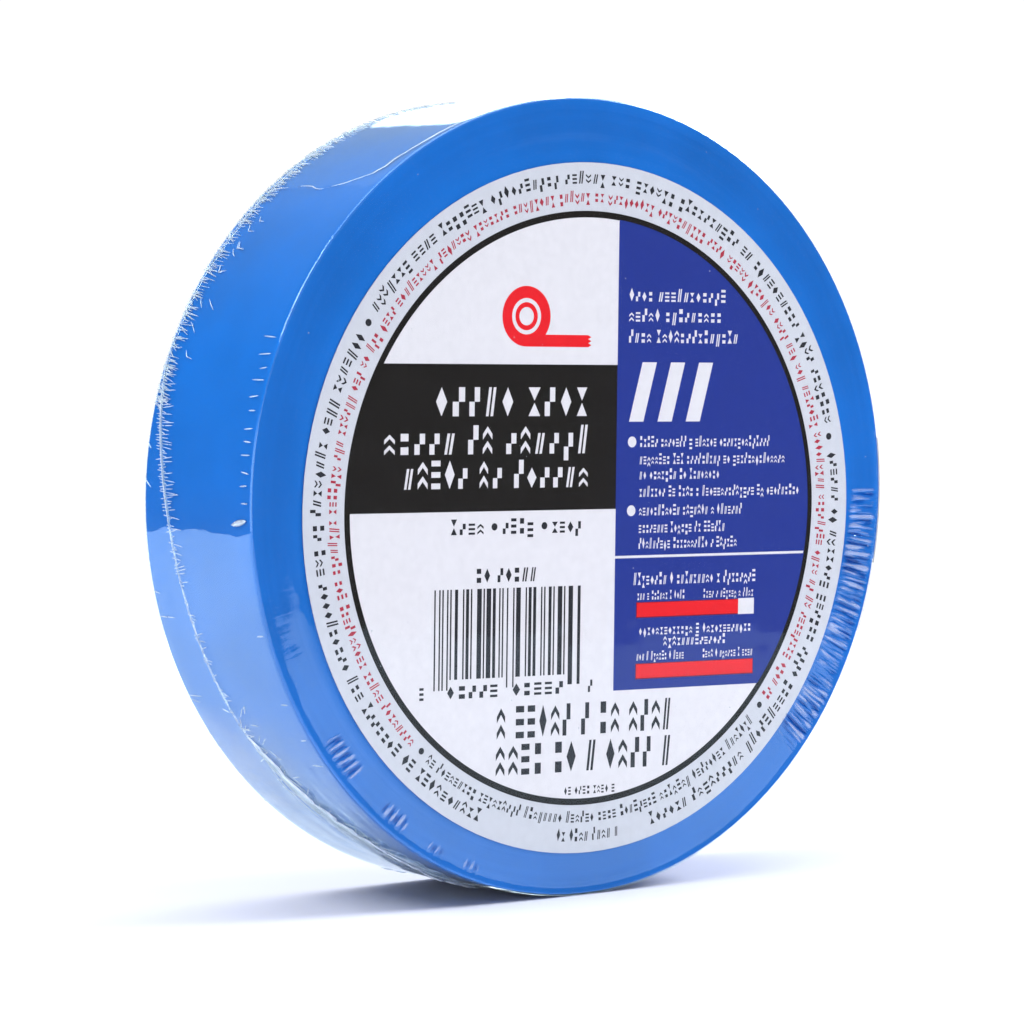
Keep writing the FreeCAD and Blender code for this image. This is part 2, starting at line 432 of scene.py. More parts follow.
vinyl = vinyl_material("vinyl_tape", (0.003, 0.146, 0.535))
adhesive = adhesive_material()
board = board_material("core_board", (0.30, 0.25, 0.19), (0.46, 0.40, 0.32))
liner = board_material("core_liner_paper", (0.33, 0.22, 0.13), (0.47, 0.34, 0.21))
paper = print_material("label_paper", (0.62, 0.63, 0.66), 0.45)
inks = {name: print_material("label_" + name, shade, 0.4) for name, shade in INK_SHADES.items()}
# The haze, the roughness and the shine of each kind of film. A haze over 1 is white all over.
film = film_material("shrink_film", 0.003, 0.03, 0.07, shell=True)
folded_film = film_material("shrink_film_folded", 0.16, 0.08, 0.06)
drawn_film = film_material("shrink_film_drawn", 0.6, 0.3, 0.2)
hem_film = film_material("shrink_film_hem", 1.4, 0.3, 0.15)


# ---- core and tape

MATERIAL_OF = {
    "core_inner_liner": liner, "core_body_ply_1": board, "core_body_ply_2": board, "core_body_ply_3": board,
    "core_outer_ply": board, "tape_last_turn": vinyl, "tape_free_end_backing": vinyl,
    "tape_free_end_adhesive": adhesive, "label_disc": paper,
}
for node, material in MATERIAL_OF.items():
    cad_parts[node].data.materials[0] = material


def tape_winding():
    """The wound turns, each one a ring that stands a few hundredths of a millimetre in or out of the side."""
    columns = 240
    angles = np.arange(columns) * 360 / columns
    # Its outer edge is the spiral's, two turns inside the rim.
    wound = ((TIP_ANGLE - angles) % 360) / 360
    edge = ROLL_RADIUS - 2 * TURN - TURN / 8 + TURN * wound
    generator = np.random.default_rng(3)
    sides = []
    for y, inward in ((TAPE_FRONT, 1), (TAPE_REAR, -1)):
        sunk = np.abs(np.cumsum(generator.normal(0, 0.0015, TURNS)) + generator.normal(0, 0.004, TURNS))
        rows = [around(angles, CORE_RADIUS + TURN * turn, y + inward * sunk[turn])
                for turn in range(TURNS - 2)]
        rows.append(around(angles, edge, y))
        sides.append(rows)
    rows = sides[0] + sides[1][::-1]
    faces = grid_faces(len(rows), columns, True)
    # The last faces close the ring over the core.
    last = (len(rows) - 1) * columns
    faces += [(last + c, last + (c + 1) % columns, (c + 1) % columns, c) for c in range(columns)]
    piece = make_piece("tape_wound_turns", np.concatenate(rows), faces, vinyl, "roll")
    piece.data.set_sharp_from_angle(angle=math.radians(40))
    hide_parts("tape_winding")


tape_winding()


# ---- the label

# The print is turned a little. Its layout is in millimetres, to the right of the label's centre and up.
PRINT_TURN = math.radians(-0.9)
INK_STEP = 0.004
RING_OUTER = 40.7
RING_INNER = 39.8
PANEL_SIDE = 4.85
BLACK_PANEL = (-0.1, 19.7)
BLUE_PANEL_FOOT = -25.2
PAST_RING = 45.0
# Radius and height of the two rows of marks round the ring.
OUTER_ROW = (45.7, 1.8)
INNER_ROW = (43.1, 1.6)


def disc(u, v, radius, count=24):
    return [(u + radius * math.cos(k * math.tau / count), v + radius * math.sin(k * math.tau / count))
            for k in range(count)]


def box(left, right, low, high, corner=0.0):
    """A rectangle, with rounded corners if they have a radius."""
    if corner <= 0:
        return [(left, low), (right, low), (right, high), (left, high)]
    points = []
    places = [(right - corner, high - corner), (left + corner, high - corner),
              (left + corner, low + corner), (right - corner, low + corner)]
    for quarter, (u, v) in enumerate(places):
        for step in range(4):
            angle = math.pi / 2 * (quarter + step / 3)
            points.append((u + corner * math.cos(angle), v + corner * math.sin(angle)))
    return points


def clipped(left, right, low, high, radius, count=160):
    """The part of a rectangle that lies inside a circle round the label's centre."""
    outline = [(left, low), (right, low), (right, high), (left, high)]
    points = []
    for start, end in zip(outline, outline[1:] + outline[:1]):
        for step in range(count):
            part = step / count
            u = start[0] + (end[0] - start[0]) * part
            v = start[1] + (end[1] - start[1]) * part
            away = math.hypot(u, v)
            if away <= radius:
                points.append((u, v))
            else:
                edge = (u * radius / away, v * radius / away)
                inside = left - 1e-6 <= edge[0] <= right + 1e-6 and low - 1e-6 <= edge[1] <= high + 1e-6
                if inside:
                    points.append(edge)
    return points


def sign(left, right, low, high):
    """One small geometric figure that stands for a printed sign. None of them is a letter or a digit."""
    wide, tall = right - left, high - low
    middle, level = (left + right) / 2, (low + high) / 2
    kind = rng.choice(("bars", "slashes", "chevrons", "lozenge", "wedges", "steps", "beads"))
    if kind == "bars":
        return [box(left, right, low + tall * part, low + tall * (part + 0.2)) for part in (0.0, 0.4, 0.8)]
    if kind == "slashes":
        stroke, lean = wide * 0.26, wide * 0.3
        return [[(u, low), (u + stroke, low), (u + stroke + lean, high), (u + lean, high)]
                for u in (left, left + wide * 0.44)]
    if kind == "chevrons":
        thick, rise = tall * 0.2, tall * 0.26
        return [[(a, v + start), (b, v + end), (b, v + end + thick), (a, v + start + thick)]
                for v in (low, low + tall * 0.5)
                for a, b, start, end in ((left, middle, 0.0, rise), (middle, right, rise, 0.0))]
    if kind == "lozenge":
        return [[(middle, low), (right, level), (middle, high), (left, level)]]
    if kind == "wedges":
        gap = tall * 0.04
        return [[(left, low), (right, low), (middle, level - gap)],
                [(left, high), (middle, level + gap), (right, high)]]
    if kind == "steps":
        return [box(left, middle, low, level), box(middle, right, level, high)]
    inset, bead = wide * 0.12, tall * 0.36
    return [box(left + inset, right - inset, v, v + bead) for v in (low, high - bead)]


def marks(left, right, base, height, words, capitals=False):
    """A row of small figures that stands for a line of print, with a space between the words."""
    step = (right - left) / (sum(words) + 0.6 * (len(words) - 1))
    shapes = []
    u = left
    for word in words:
        for place in range(word):
            low, high = base, base + height
            if not capitals and not (place == 0 and rng.random() < 0.4):
                reach = rng.random()
                high = high if reach < 0.24 else base + 0.72 * height
                low = base - 0.24 * height if reach > 0.9 else base
            shapes += sign(u, u + step * rng.uniform(0.62, 0.74), low, high)
            u += step
        u += 0.6 * step
    return shapes


def bent(shapes, radius, middle):
    """Shapes wrapped round the label, with their base on a circle and their tops towards the centre."""
    wrapped = []
    for shape in shapes:
        points = []
        for u, v in shape:
            angle = math.radians(middle) + u / radius
            points.append(((radius - v) * math.cos(angle), (radius - v) * math.sin(angle)))
        wrapped.append(points)
    return wrapped


def ring_row(row, start, end, words):
    """A row of marks on a circle, from a start angle clockwise to an end angle."""
    radius, height = row
    length = math.radians((start - end) % 360) * radius
    return bent(marks(-length / 2, length / 2, 0, height, words), radius, start - (start - end) % 360 / 2)


def ring_dots(row, size, angles):
    """Round dots in a row of marks on a circle."""
    radius, height = row
    return [shape for angle in angles for shape in bent([disc(0, height / 2, size)], radius, angle)]


def words_for(count):
    """Word lengths that add up to about this many letters."""
    lengths = []
    while sum(lengths) < count:
        lengths.append(rng.choice(range(2, 11)))
    return lengths


def ink(name, shade, layer, shapes):
    """Flat closed pieces of ink on the label. A higher layer lies in front of a lower one."""
    points, faces = [], []
    back, front = LABEL_FRONT, LABEL_FRONT - INK_STEP * layer
    cos, sin = math.cos(PRINT_TURN), math.sin(PRINT_TURN)
    for shape in shapes:
        first, count = len(points), len(shape)
        area = sum(a[0] * b[1] - b[0] * a[1] for a, b in zip(shape, shape[1:] + shape[:1]))
        outline = shape if area > 0 else shape[::-1]
        for y in (front, back):
            for u, v in outline:
                points.append((LABEL_CENTRE[0] + u * cos - v * sin, y, LABEL_CENTRE[1] + u * sin + v * cos))
        faces.append(tuple(range(first, first + count)))
        faces.append(tuple(range(first + 2 * count - 1, first + count - 1, -1)))
        for k in range(count):
            following = (k + 1) % count
            faces.append((first + k, first + count + k, first + count + following, first + following))
    return make_piece("label_print_" + name, points, faces, inks[shade], "label", smooth=False)


def roll_pictogram(u, v, outer, inner, tail):
    """A plain sign for a roll of tape: a ring with the strip's end running off along its foot."""
    count = 48
    shapes = []
    # The wound tape, and the core inside it.
    for high, low in ((outer, outer * 0.6), (inner, inner * 0.65)):
        for k in range(count):
            a, b = k * math.tau / count, (k + 1) * math.tau / count
            shapes.append([(u + r * math.cos(t), v + r * math.sin(t))
                           for r, t in ((low, a), (high, a), (high, b), (low, b))])
    thick = outer * 0.4
    low = v - outer
    teeth = 3
    strip = [box(u, tail - thick / 3, low, low + thick)]
    for k in range(teeth):
        base = low + thick * k / teeth
        strip.append([(tail - thick / 3, base), (tail, base + thick / teeth / 2),
                      (tail - thick / 3, base + thick / teeth)])
    return shapes, strip


def slanted_bars(left, right, low, high, count):
    """Plain slanted stripes, as on floor marking."""
    pitch = (right - left) / count
    lean = pitch * 0.45
    return [[(left + k * pitch, low), (left + k * pitch + pitch * 0.5, low),
             (left + k * pitch + pitch * 0.5 + lean, high), (left + k * pitch + lean, high)]
            for k in range(count)]


def bar_code(left, right, low, high, tall):
    """Bars of three widths at random, with longer ones at the ends and in the middle. It encodes nothing."""
    shapes = []
    modules = 95
    module = (right - left) / modules
    place = 0
    while place < modules - 1:
        width = rng.choice((1, 1, 2, 3))
        gap = rng.choice((1, 1, 2, 3))
        width = min(width, modules - place)
        guard = place < 9 or place > modules - 10 or abs(place - modules / 2) < 3
        shapes.append(box(left + place * module, left + (place + width) * module - 0.02,
                          tall if guard else low, high))
        place += width + gap
    return shapes


def print_label():
    """The label's whole print, from the ground colours up."""
    ink("ring", "black", 1, [disc(0, 0, RING_OUTER, 256)])
    ink("ground", "white", 2, [disc(0, 0, RING_INNER, 256)])
    ink("black_panel", "black", 3, [clipped(-PAST_RING, PANEL_SIDE, *BLACK_PANEL, RING_INNER + 0.1)])
    blue = clipped(PANEL_SIDE, PAST_RING, BLUE_PANEL_FOOT, PAST_RING, RING_INNER + 0.1)
    ink("blue_panel", "blue", 3, [blue])

    # Two rows on the pale outer ring: the outer one dark, the inner one red but for the foot.
    dark = ring_row(OUTER_ROW, 247, 148.5, words_for(52))
    dark += ring_row(OUTER_ROW, 144, 15, words_for(70)) + ring_row(OUTER_ROW, 10, -75, words_for(46))
    dark += ring_row(OUTER_ROW, -82, -96, [2, 4, 4, 1]) + ring_dots(OUTER_ROW, 0.5, (146, 12.5))
    dark += ring_row(INNER_ROW, -45, -129, words_for(64)) + ring_dots(INNER_ROW, 0.45, (-42, -131))
    ink("ring_marks_dark", "grey", 1, dark)
    ink("ring_marks_red", "rose", 1, ring_row(INNER_ROW, 227, -40, words_for(186)))

    # White on the black panel.
    rows = marks(-26.0, 0.6, 12.7, 3.9, [5, 4], capitals=True)
    rows += marks(-34.4, 0.6, 7.6, 3.9, [5, 2, 6])
    rows += marks(-31.1, 0.6, 3.0, 3.8, [5, 2, 6])
    ink("black_panel_marks", "white", 4, rows)

    # White on the blue panel.
    rows = marks(6.8, 24.4, 28.5, 1.8, [4, 11])
    rows += marks(6.8, 23.7, 25.7, 1.8, [5, 9])
    rows += marks(6.8, 26.7, 22.8, 1.8, [4, 14])
    rows += slanted_bars(7.0, 22.2, 11.9, 20.1, 3)
    rows += [disc(7.6, 9.1, 0.75), disc(7.6, -0.4, 0.75)]
    for right, base, words in (
        (32.8, 8.4, [5, 7, 1, 6, 14]), (35.6, 6.0, [8, 3, 9, 2, 14]), (23.6, 3.9, [2, 7, 2, 8]),
        (38.4, 1.5, [7, 2, 4, 1, 14, 2, 9]), (27.8, -1.1, [11, 7, 1, 7]), (24.7, -3.5, [8, 6, 2, 6]),
        (26.9, -5.7, [9, 10, 1, 6]),
    ):
        rows += marks(9.0, right, base, 1.5, words)
    rows += marks(8.2, 30.5, -10.7, 1.7, [8, 1, 9, 1, 8])
    rows += marks(9.3, 29.8, -17.7, 1.4, [13, 1, 12])
    rows += marks(13.7, 25.2, -19.3, 1.4, [14])
    for base in (-12.8, -21.2):
        rows += marks(8.9, 17.5, base, 1.25, [3, 1, 6, 1, 4])
        rows += marks(20.8, 30.1, base, 1.25, [4, 1, 6, 1, 4])
    rows += [clipped(PANEL_SIDE, PAST_RING, -6.95, -6.6, RING_INNER)]
    ink("blue_panel_marks", "white", 4, rows)

    # Two gauges. The upper one is not quite full.
    gauges = [box(8.7, 30.1, -15.3, -13.1), box(8.7, 30.1, -23.8, -21.6)]
    ink("gauge_outlines", "maroon", 4, gauges)
    ink("gauge_bars", "red", 5, [box(8.85, 30.0, -15.15, -13.2), box(8.85, 30.0, -23.65, -21.7)])
    ink("gauge_rest", "white", 6, [box(27.2, 30.1, -15.3, -13.05)])

    # On the white ground.
    roll, strip = roll_pictogram(-11.0, 26.2, 4.1, 1.9, 0.2)
    ink("pictogram_roll", "red", 3, roll)
    ink("pictogram_strip", "red", 4, strip)
    rows = marks(-23.3, -17.4, -3.2, 2.1, [4]) + [disc(-16.0, -2.2, 0.5)]
    rows += marks(-14.6, -9.0, -3.2, 2.1, [4]) + [disc(-7.5, -2.2, 0.5)]
    rows += marks(-6.2, -0.8, -3.2, 2.1, [4])
    rows += marks(-19.0, -8.4, -9.7, 1.9, [2, 5], capitals=True)
    rows += bar_code(-25.9, -0.8, -22.6, -10.5, -24.0)
    for left, right, count in ((-28.2, -27.1, 1), (-23.6, -14.6, 5), (-12.6, -3.4, 5), (0.4, 1.5, 1)):
        rows += marks(left, right, -25.2, 1.7, [count], capitals=True)
    rows += marks(-15.2, 15.8, -31.0, 4.4, [1, 5, 1, 2, 4], capitals=True)
    rows += marks(-15.3, 15.9, -36.0, 4.2, [4, 2, 1, 4, 1], capitals=True)
    rows += marks(-3.5, 5.5, -39.2, 1.1, [2, 4, 4, 1], capitals=True)
    ink("ground_marks", "grey", 3, rows)


print_label()


# ---- the shrink film

def film_piece(name, points, faces, material, body, smooth=True):
    """A piece of the film bag."""
    return make_piece(name, points, faces, material, body, smooth)


def seal_line(angle):
    """Where the trim seal crosses the rim at an angle, along the axis."""
    y = SEAL_MIDDLE + SEAL_SLOPE * FILM_RADIUS * np.sin(np.radians(angle))
    for centre, width, drift in SEAL_DRIFTS:
        y = y + drift * bump(angle, centre, width)
    return np.minimum(y, SEAL_LIMIT)


def crumple(angle, y):
    """How far the film on the wall stands off the tape, in millimetres."""
    u = (angle % 360) / 360
    lift = 0.03 + 0.03 * lattice_noise(11, u * 36, y / 9 + 20, 36)
    # The film was gathered low on the left, where it lies in long, loose folds.
    gather = bump(angle, GATHER_ANGLE, GATHER_SPREAD)
    gather = gather * np.exp(-(((y - GATHER_PLACE) / GATHER_REACH) ** 2))
    folds = lattice_noise(12, u * 72, y / 1.3 + 30, 72)
    cross = lattice_noise(13, u * 180, y / 2.6 + 30, 180)
    lift = lift + gather * (0.16 + 0.13 * folds + 0.05 * cross)
    # Beside the seal it puckers.
    beside = np.exp(-((y - seal_line(angle)) / 1.6) ** 2)
    lift = lift + beside * (0.03 + 0.05 * np.abs(lattice_noise(14, u * 240, y / 3 + 20, 240)))
    return np.maximum(lift, 0.0)


def film_columns():
    """The angles of the film's columns, with one on each edge of the slot."""
    low, high = SLOT
    inside = np.linspace(low, high, int((high - low) * COLUMNS_PER_DEGREE) + 1)
    outside = np.linspace(high, low + 360, int((360 - high + low) * COLUMNS_PER_DEGREE) + 1)
    return np.concatenate([inside[:-1], outside[:-1]]), len(inside) - 1


def front_depth(angle, radius):
    """How far the film on the front stands behind its outermost plane, in millimetres."""
    u = (angle % 360) / 360
    # It lies on the label, and beyond the label's edge it sinks to the tape.
    sink = 0.10 / (1 + np.exp(-(radius - 49.5) / 0.5))
    sink = sink + 0.03 * (radius > 49) * (1 + lattice_noise(21, u * 90, radius / 3, 90)) / 2
    # Low on the right it is drawn in ripples. The material adds the finer ones.
    ripples = lattice_noise(25, u * 150, radius / 5 + 3, 150) * bump(angle, RIPPLE_ANGLE, 15.0)
    sink = sink + 0.03 * (radius > 49) * ripples
    return sink + 0.012 * (1 + lattice_noise(22, u * 12, radius / 12 + 5, 12))


def rear_depth(angle, radius):
    """The same for the film on the back. It sags a little over the bore, with pleats round it."""
    u = (angle % 360) / 360
    inner = 1 / (1 + np.exp((radius - 38.5) / 0.8))
    pleats = lattice_noise(23, u * 60, radius * 0 + 3, 60) * np.exp(-(((radius - 36) / 7) ** 2))
    return 0.03 + inner * 0.25 * (1 - (radius / 40) ** 2) + 0.09 * (1 + pleats) * inner + 0.015


def film_shell(side, face, inward, wall_rows, depth_at):
    """Half of the film bag: its part of the wall, the rounded rim and the face."""
    angles, slot_columns = film_columns()
    corner = face + inward * FILM_CORNER
    start = seal_line(angles)
    rows = []
    for step in range(wall_rows):
        y = start + (corner - start) * step / (wall_rows - 1)
        fade = 1 - np.exp(-(((y - corner) / 1.0) ** 2))
        rows.append(around(angles, WALL + fade * crumple(angles, y), y))
    corner_rows = 6
    for step in range(1, corner_rows):
        turn = math.pi / 2 * step / corner_rows
        radius = WALL - FILM_CORNER * (1 - math.cos(turn))
        rows.append(around(angles, radius, corner - inward * FILM_CORNER * math.sin(turn)))
    slot_rows = len(rows)
    ease = FILM_RADIUS - FILM_CORNER - FILM_THICKNESS / 2
    # The rows are close together at the rim, and further apart over the label and the bore.
    for radius in np.concatenate([[ease, SLOT_ROOT], np.linspace(53.6, 44, 20), np.linspace(43, 2, 30)]):
        calm = min(1.0, max(0.0, (ease - radius) / 0.8))
        depth = calm * depth_at(angles, np.full_like(angles, radius))
        rows.append(around(angles, radius, face + inward * depth))
    columns = len(angles)
    middle = len(rows) * columns
    points = np.concatenate(rows + [np.array([[0.0, rows[-1][0][1], 0.0]])])

    def in_slot(row, column):
        return row <= slot_rows and column < slot_columns

    faces = grid_faces(len(rows), columns, True, in_slot)
    last = middle - columns
    faces += [(last + c, last + (c + 1) % columns, middle) for c in range(columns)]
    if inward < 0:
        faces = [face[::-1] for face in faces]
    piece = film_piece("film_" + side + "_shell", points, faces, film, "film_" + side)
    thicken(piece, -1)
    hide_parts("shrink_film_" + side)


def tube_along(points, radii, count=8):
    """A closed round tube along points, with a radius at each. Returns its points and faces."""
    points = np.asarray(points, dtype=float)
    tangents = np.gradient(points, axis=0)
    tangents /= np.linalg.norm(tangents, axis=1)[:, None]
    shell, faces = [], []
    for place, tangent, radius in zip(points, tangents, radii):
        out = np.array([place[0], 0.0, place[2]])
        out /= np.linalg.norm(out)
        out -= tangent * (out @ tangent)
        out /= np.linalg.norm(out)
        side = np.cross(tangent, out)
        for k in range(count):
            turn = k * math.tau / count
            shell.append(place + radius * (math.cos(turn) * out + math.sin(turn) * side))
    faces = grid_faces(len(points), count, True)
    faces.append(tuple(range(count))[::-1])
    last = (len(points) - 1) * count
    faces.append(tuple(range(last, last + count)))
    return shell, faces


def join(parts):
    """One list of points and faces from several."""
    points, faces = [], []
    for more_points, more_faces in parts:
        first = len(points)
        points.extend(more_points)
        faces.extend(tuple(first + index for index in face) for face in more_faces)
    return points, faces


def fold(path, outward, half_width, height):
    """A pinched fold: a low ridge along a path that fades out at both ends."""
    path, outward = np.asarray(path, dtype=float), np.asarray(outward, dtype=float)
    tangents = np.gradient(path, axis=0)
    tangents /= np.linalg.norm(tangents, axis=1)[:, None]
    section = [(-1.0, -0.1), (-0.55, 0.62), (0.0, 1.0), (0.55, 0.62), (1.0, -0.1)]
    points = [path[0]]
    for k in range(1, len(path) - 1):
        size = math.sin(math.pi * k / (len(path) - 1)) ** 0.6
        side = np.cross(tangents[k], outward[k])
        for across, up in section:
            points.append(path[k] + size * (across * half_width * side + up * height * outward[k]))
    points.append(path[-1])
    count, rings = len(section), len(path) - 2
    faces = [tuple(1 + index for index in face) for face in grid_faces(rings, count, True)]
    faces += [(0, 1 + (k + 1) % count, 1 + k) for k in range(count)]
    last, end = 1 + (rings - 1) * count, len(points) - 1
    faces += [(last + k, last + (k + 1) % count, end) for k in range(count)]
    return points, faces


def wall_fold(angles, ys, half_width, height, lift=0.0, steps=7):
    """A fold on the wall, between two or more places given by angle and distance along the axis."""
    part = np.linspace(0, 1, steps)
    known = np.linspace(0, 1, len(angles))
    angle, y = np.interp(part, known, angles), np.interp(part, known, ys)
    path = around(angle, WALL + crumple(angle, y) + lift, y)
    return fold(path, around(angle, 1.0, 0.0), half_width, height)


def pleat(angle, turn, radius, length):
    """A fold on the rear face, which runs outwards from a radius."""
    steps = 7
    angles = np.linspace(angle, angle + turn, steps)
    radii = np.linspace(radius, radius + length, steps)
    y = FILM_REAR - rear_depth(angles, radii)
    return fold(around(angles, radii, y), np.tile([0.0, 1.0, 0.0], (steps, 1)), 0.2, 0.05)


def feathers(front, rear):
    """Feathering across the trim seal, thick where the film was drawn in hardest."""
    for angle in np.arange(12, 348, 0.42):
        # How thick it is: sparse all round, and thicker in three places.
        thick = 0.2 + bump(angle, 172, 15) + 0.3 * bump(angle, 300, 30) + 0.4 * bump(angle, 60, 20)
        if rng.random() > thick:
            continue
        y = float(seal_line(angle))
        lean = rng.uniform(-0.4, 0.4)
        reach = rng.uniform(0.7, 3.4) * (0.35 + 0.65 * min(thick, 1.0))
        front.append(wall_fold([angle, angle + lean], [y - 0.1, y - reach], 0.07, 0.08))
        if y < SEAL_LIMIT - 0.3:
            reach = min(rng.uniform(0.4, 1.6) * (0.35 + 0.65 * min(thick, 1.0)), 12.4 - y)
            rear.append(wall_fold([angle, angle - lean * 0.5], [y + 0.1, y + reach], 0.07, 0.06))


def rim_ticks(front):
    """Short pinches behind the front rim, where the film turns the corner."""
    behind_rim = -12.35
    angles = [float(angle) + rng.uniform(-0.3, 0.3) for angle in np.arange(156, 181, 2.1)]
    # The rest are in clusters: middle, spread and count.
    for cluster, spread, count in ((212, 10, 4), (75, 16, 7), (320, 22, 14), (25, 8, 5)):
        angles += [rng.gauss(cluster, spread) for _ in range(count)]
    for angle in angles:
        if SLOT[0] - 0.5 < (angle + 180) % 360 - 180 < SLOT[1] + 0.5:
            continue
        y = behind_rim + rng.uniform(0.0, 0.5)
        turned = angle + rng.uniform(-0.3, 0.3)
        front.append(wall_fold([angle, turned], [y, y + rng.uniform(1.4, 3.2)], 0.1, 0.06))
    front.append(wall_fold([181.5, 182.2], [-11.9, -8.2], 0.4, 0.12))


def rear_hairs(rear):
    """Fine drawn lines in from the rear rim, closest together high on the left."""
    rim = 12.8
    for _ in range(430):
        angle = rng.uniform(94, 166) if rng.random() < 0.85 else rng.uniform(20, 340)
        deep = rng.uniform(0.8, 4.6)
        rear.append(wall_fold([angle, angle + rng.uniform(-0.2, 1.6)], [rim, rim - deep],
                              rng.uniform(0.05, 0.09), rng.uniform(0.05, 0.14)))
    for _ in range(14):
        angle = rng.gauss(143, 9)
        y = rng.uniform(7.5, 11.5)
        rear.append(wall_fold([angle, angle + rng.uniform(0.4, 1.6), angle + rng.uniform(1.0, 2.2)],
                              [y, y - rng.uniform(0.5, 1.2), y - rng.uniform(1.5, 2.6)], 0.07, 0.06))


def crease(front, rear):
    """The long crease high on the left, which bends forward to run along the front rim.

    Each stretch is given by angles round the roll and by places along the axis, then half width and height.
    """
    front.append(wall_fold([129.4, 129.1, 129.3, 130.2, 129.7], [5.4, 4.0, 2.0, -0.3, -1.7], 0.09, 0.07))
    front.append(wall_fold([129.8, 128.8, 127.3, 126.2], [-1.7, -5.1, -8.1, -10.2], 0.09, 0.07))
    front.append(wall_fold([127.3, 125.0, 122.9, 120.8], [-8.6, -10.3, -10.4, -11.2], 0.3, 0.08))
    front.append(wall_fold([123.0, 118.0, 113.8, 109.5], [-10.6, -11.6, -11.8, -12.0], 0.25, 0.08))
    rear.append(wall_fold([130.2, 129.6, 129.4], [11.9, 9.6, 7.2], 0.1, 0.07))
    rear.append(wall_fold([131.4, 130.6], [11.6, 8.4], 0.09, 0.06))


def gathered_folds(front, rear):
    """Long thin folds that fan out where the seal runs into the gathered film."""
    for strand in range(30):
        start = rng.uniform(214, 232) if strand < 18 else rng.uniform(232, 252)
        length = rng.uniform(9, 26)
        angles = np.linspace(start, start + length, 6)
        spread = rng.uniform(-5.5, 3.5)
        ys = [float(seal_line(angle)) + spread * k / 5 + rng.uniform(-0.35, 0.35)
              for k, angle in enumerate(angles)]
        side = front if spread < 0 else rear
        side.append(wall_fold(angles, ys, rng.uniform(0.07, 0.13), rng.uniform(0.08, 0.16), 0.05, 19))
    for _ in range(60):
        angle = rng.uniform(208, 240)
        y = float(seal_line(angle)) + rng.uniform(-3.4, 2.4)
        turn, reach = rng.uniform(-2.0, 2.0), rng.uniform(0.8, 2.4)
        side = front if y < float(seal_line(angle)) - 0.2 else rear
        side.append(wall_fold([angle, angle + turn], [y, y - reach], 0.09, 0.09))


def folds():
    """All the pinched folds, sorted by the half that they are on. The pleats are clear, and the rest hazy."""
    front, rear, pleats = [], [], []
    feathers(front, rear)
    rim_ticks(front)
    rear_hairs(rear)
    crease(front, rear)
    gathered_folds(front, rear)
    for _ in range(46):
        angle, radius = rng.uniform(0, 360), rng.uniform(33, 39)
        length = rng.uniform(3, 12)
        pleats.append(pleat(angle, rng.uniform(-2, 2), radius, length * 0.6))
    film_piece("film_front_folds", *join(front), drawn_film, "film_front")
    film_piece("film_rear_folds", *join(rear), drawn_film, "film_rear")
    film_piece("film_rear_pleats", *join(pleats), film, "film_rear")


def ruffle():
    """The trimmed edge of the film low on the left: a thin strip whose free edge waves along the seal."""
    angles = np.arange(215.0, 262.0, 0.25)
    part = (angles - angles[0]) / (angles[-1] - angles[0])
    taper = np.sin(np.pi * part) ** 0.5
    unsteady = lattice_noise(41, angles / 2.2, angles * 0 + 4, 360)
    lumps = lattice_noise(42, angles / 0.8, angles * 0 + 4, 360)
    root = seal_line(angles) - 0.2
    waves = np.abs(np.sin(angles * math.pi / SCALLOP + 0.9 * unsteady)) ** 0.8
    edge = root - taper * (1.6 + 1.9 * waves + 0.12 * lumps)
    lift = taper * (0.12 + 0.25 * waves + 0.12 * lumps)
    rows = []
    for across in np.linspace(0, 1, 9):
        y = root + (edge - root) * across
        base = FILM_RADIUS + FILM_THICKNESS + crumple(angles, y)
        rows.append(around(angles, base + lift * across ** 1.5, y))
    faces = grid_faces(len(rows), len(angles), False)
    strip = film_piece("film_ruffle", np.concatenate(rows), faces, folded_film, "film_front")
    thicken(strip, 1)
    # A thick hem runs along the free edge, and a thinner one half way up.
    hems = [tube_along(rows[-1], 0.10 + 0.02 * lumps), tube_along(rows[5], 0.06 + 0.02 * lumps)]
    film_piece("film_ruffle_hem", *join(hems), hem_film, "film_front")


def trim_seal():
    """The welded bead. It is a thin, slightly lumpy rope of film, broken at the slot."""
    angles = np.arange(SLOT[1] + SEAL_GAP, SLOT[0] + 359.8, 0.4)
    y = seal_line(angles) + SEAL_OFFSET
    lumps = lattice_noise(31, angles, angles * 0, 360)
    radii = 0.035 + 0.015 * lumps + 0.06 * bump(angles, 170, 12)
    bead = tube_along(around(angles, FILM_RADIUS + FILM_THICKNESS / 2 + crumple(angles, y), y), radii)
    piece = film_piece("film_trim_seal", *bead, drawn_film, "film_rear")
    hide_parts("shrink_film_trim_seal")


def tear_flap():
    """The film on the tape's free end, with its short length of the seal."""
    # It stops short of the peel line, so that it clears the film beyond when the end is peeled back.
    angles = np.linspace(TIP_ANGLE - 0.55, PEEL_ANGLE - FLAP_CLEARANCE, 48)
    rows = [around(angles, WALL + np.minimum(crumple(angles, angles * 0 + y), 0.05), y)
            for y in np.linspace(TAPE_REAR, TAPE_FRONT, 40)]
    faces = grid_faces(len(rows), len(angles), False)
    flap = film_piece("film_tear_flap", np.concatenate(rows), faces, film, "free_end")
    thicken(flap, -1)
    y = seal_line(angles) + SEAL_OFFSET
    bead = tube_along(around(angles, FILM_RADIUS + FILM_THICKNESS / 2, y), 0.045 + 0 * angles)
    film_piece("film_tear_flap_seal", *bead, folded_film, "free_end")
    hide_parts("shrink_film_tear_flap")


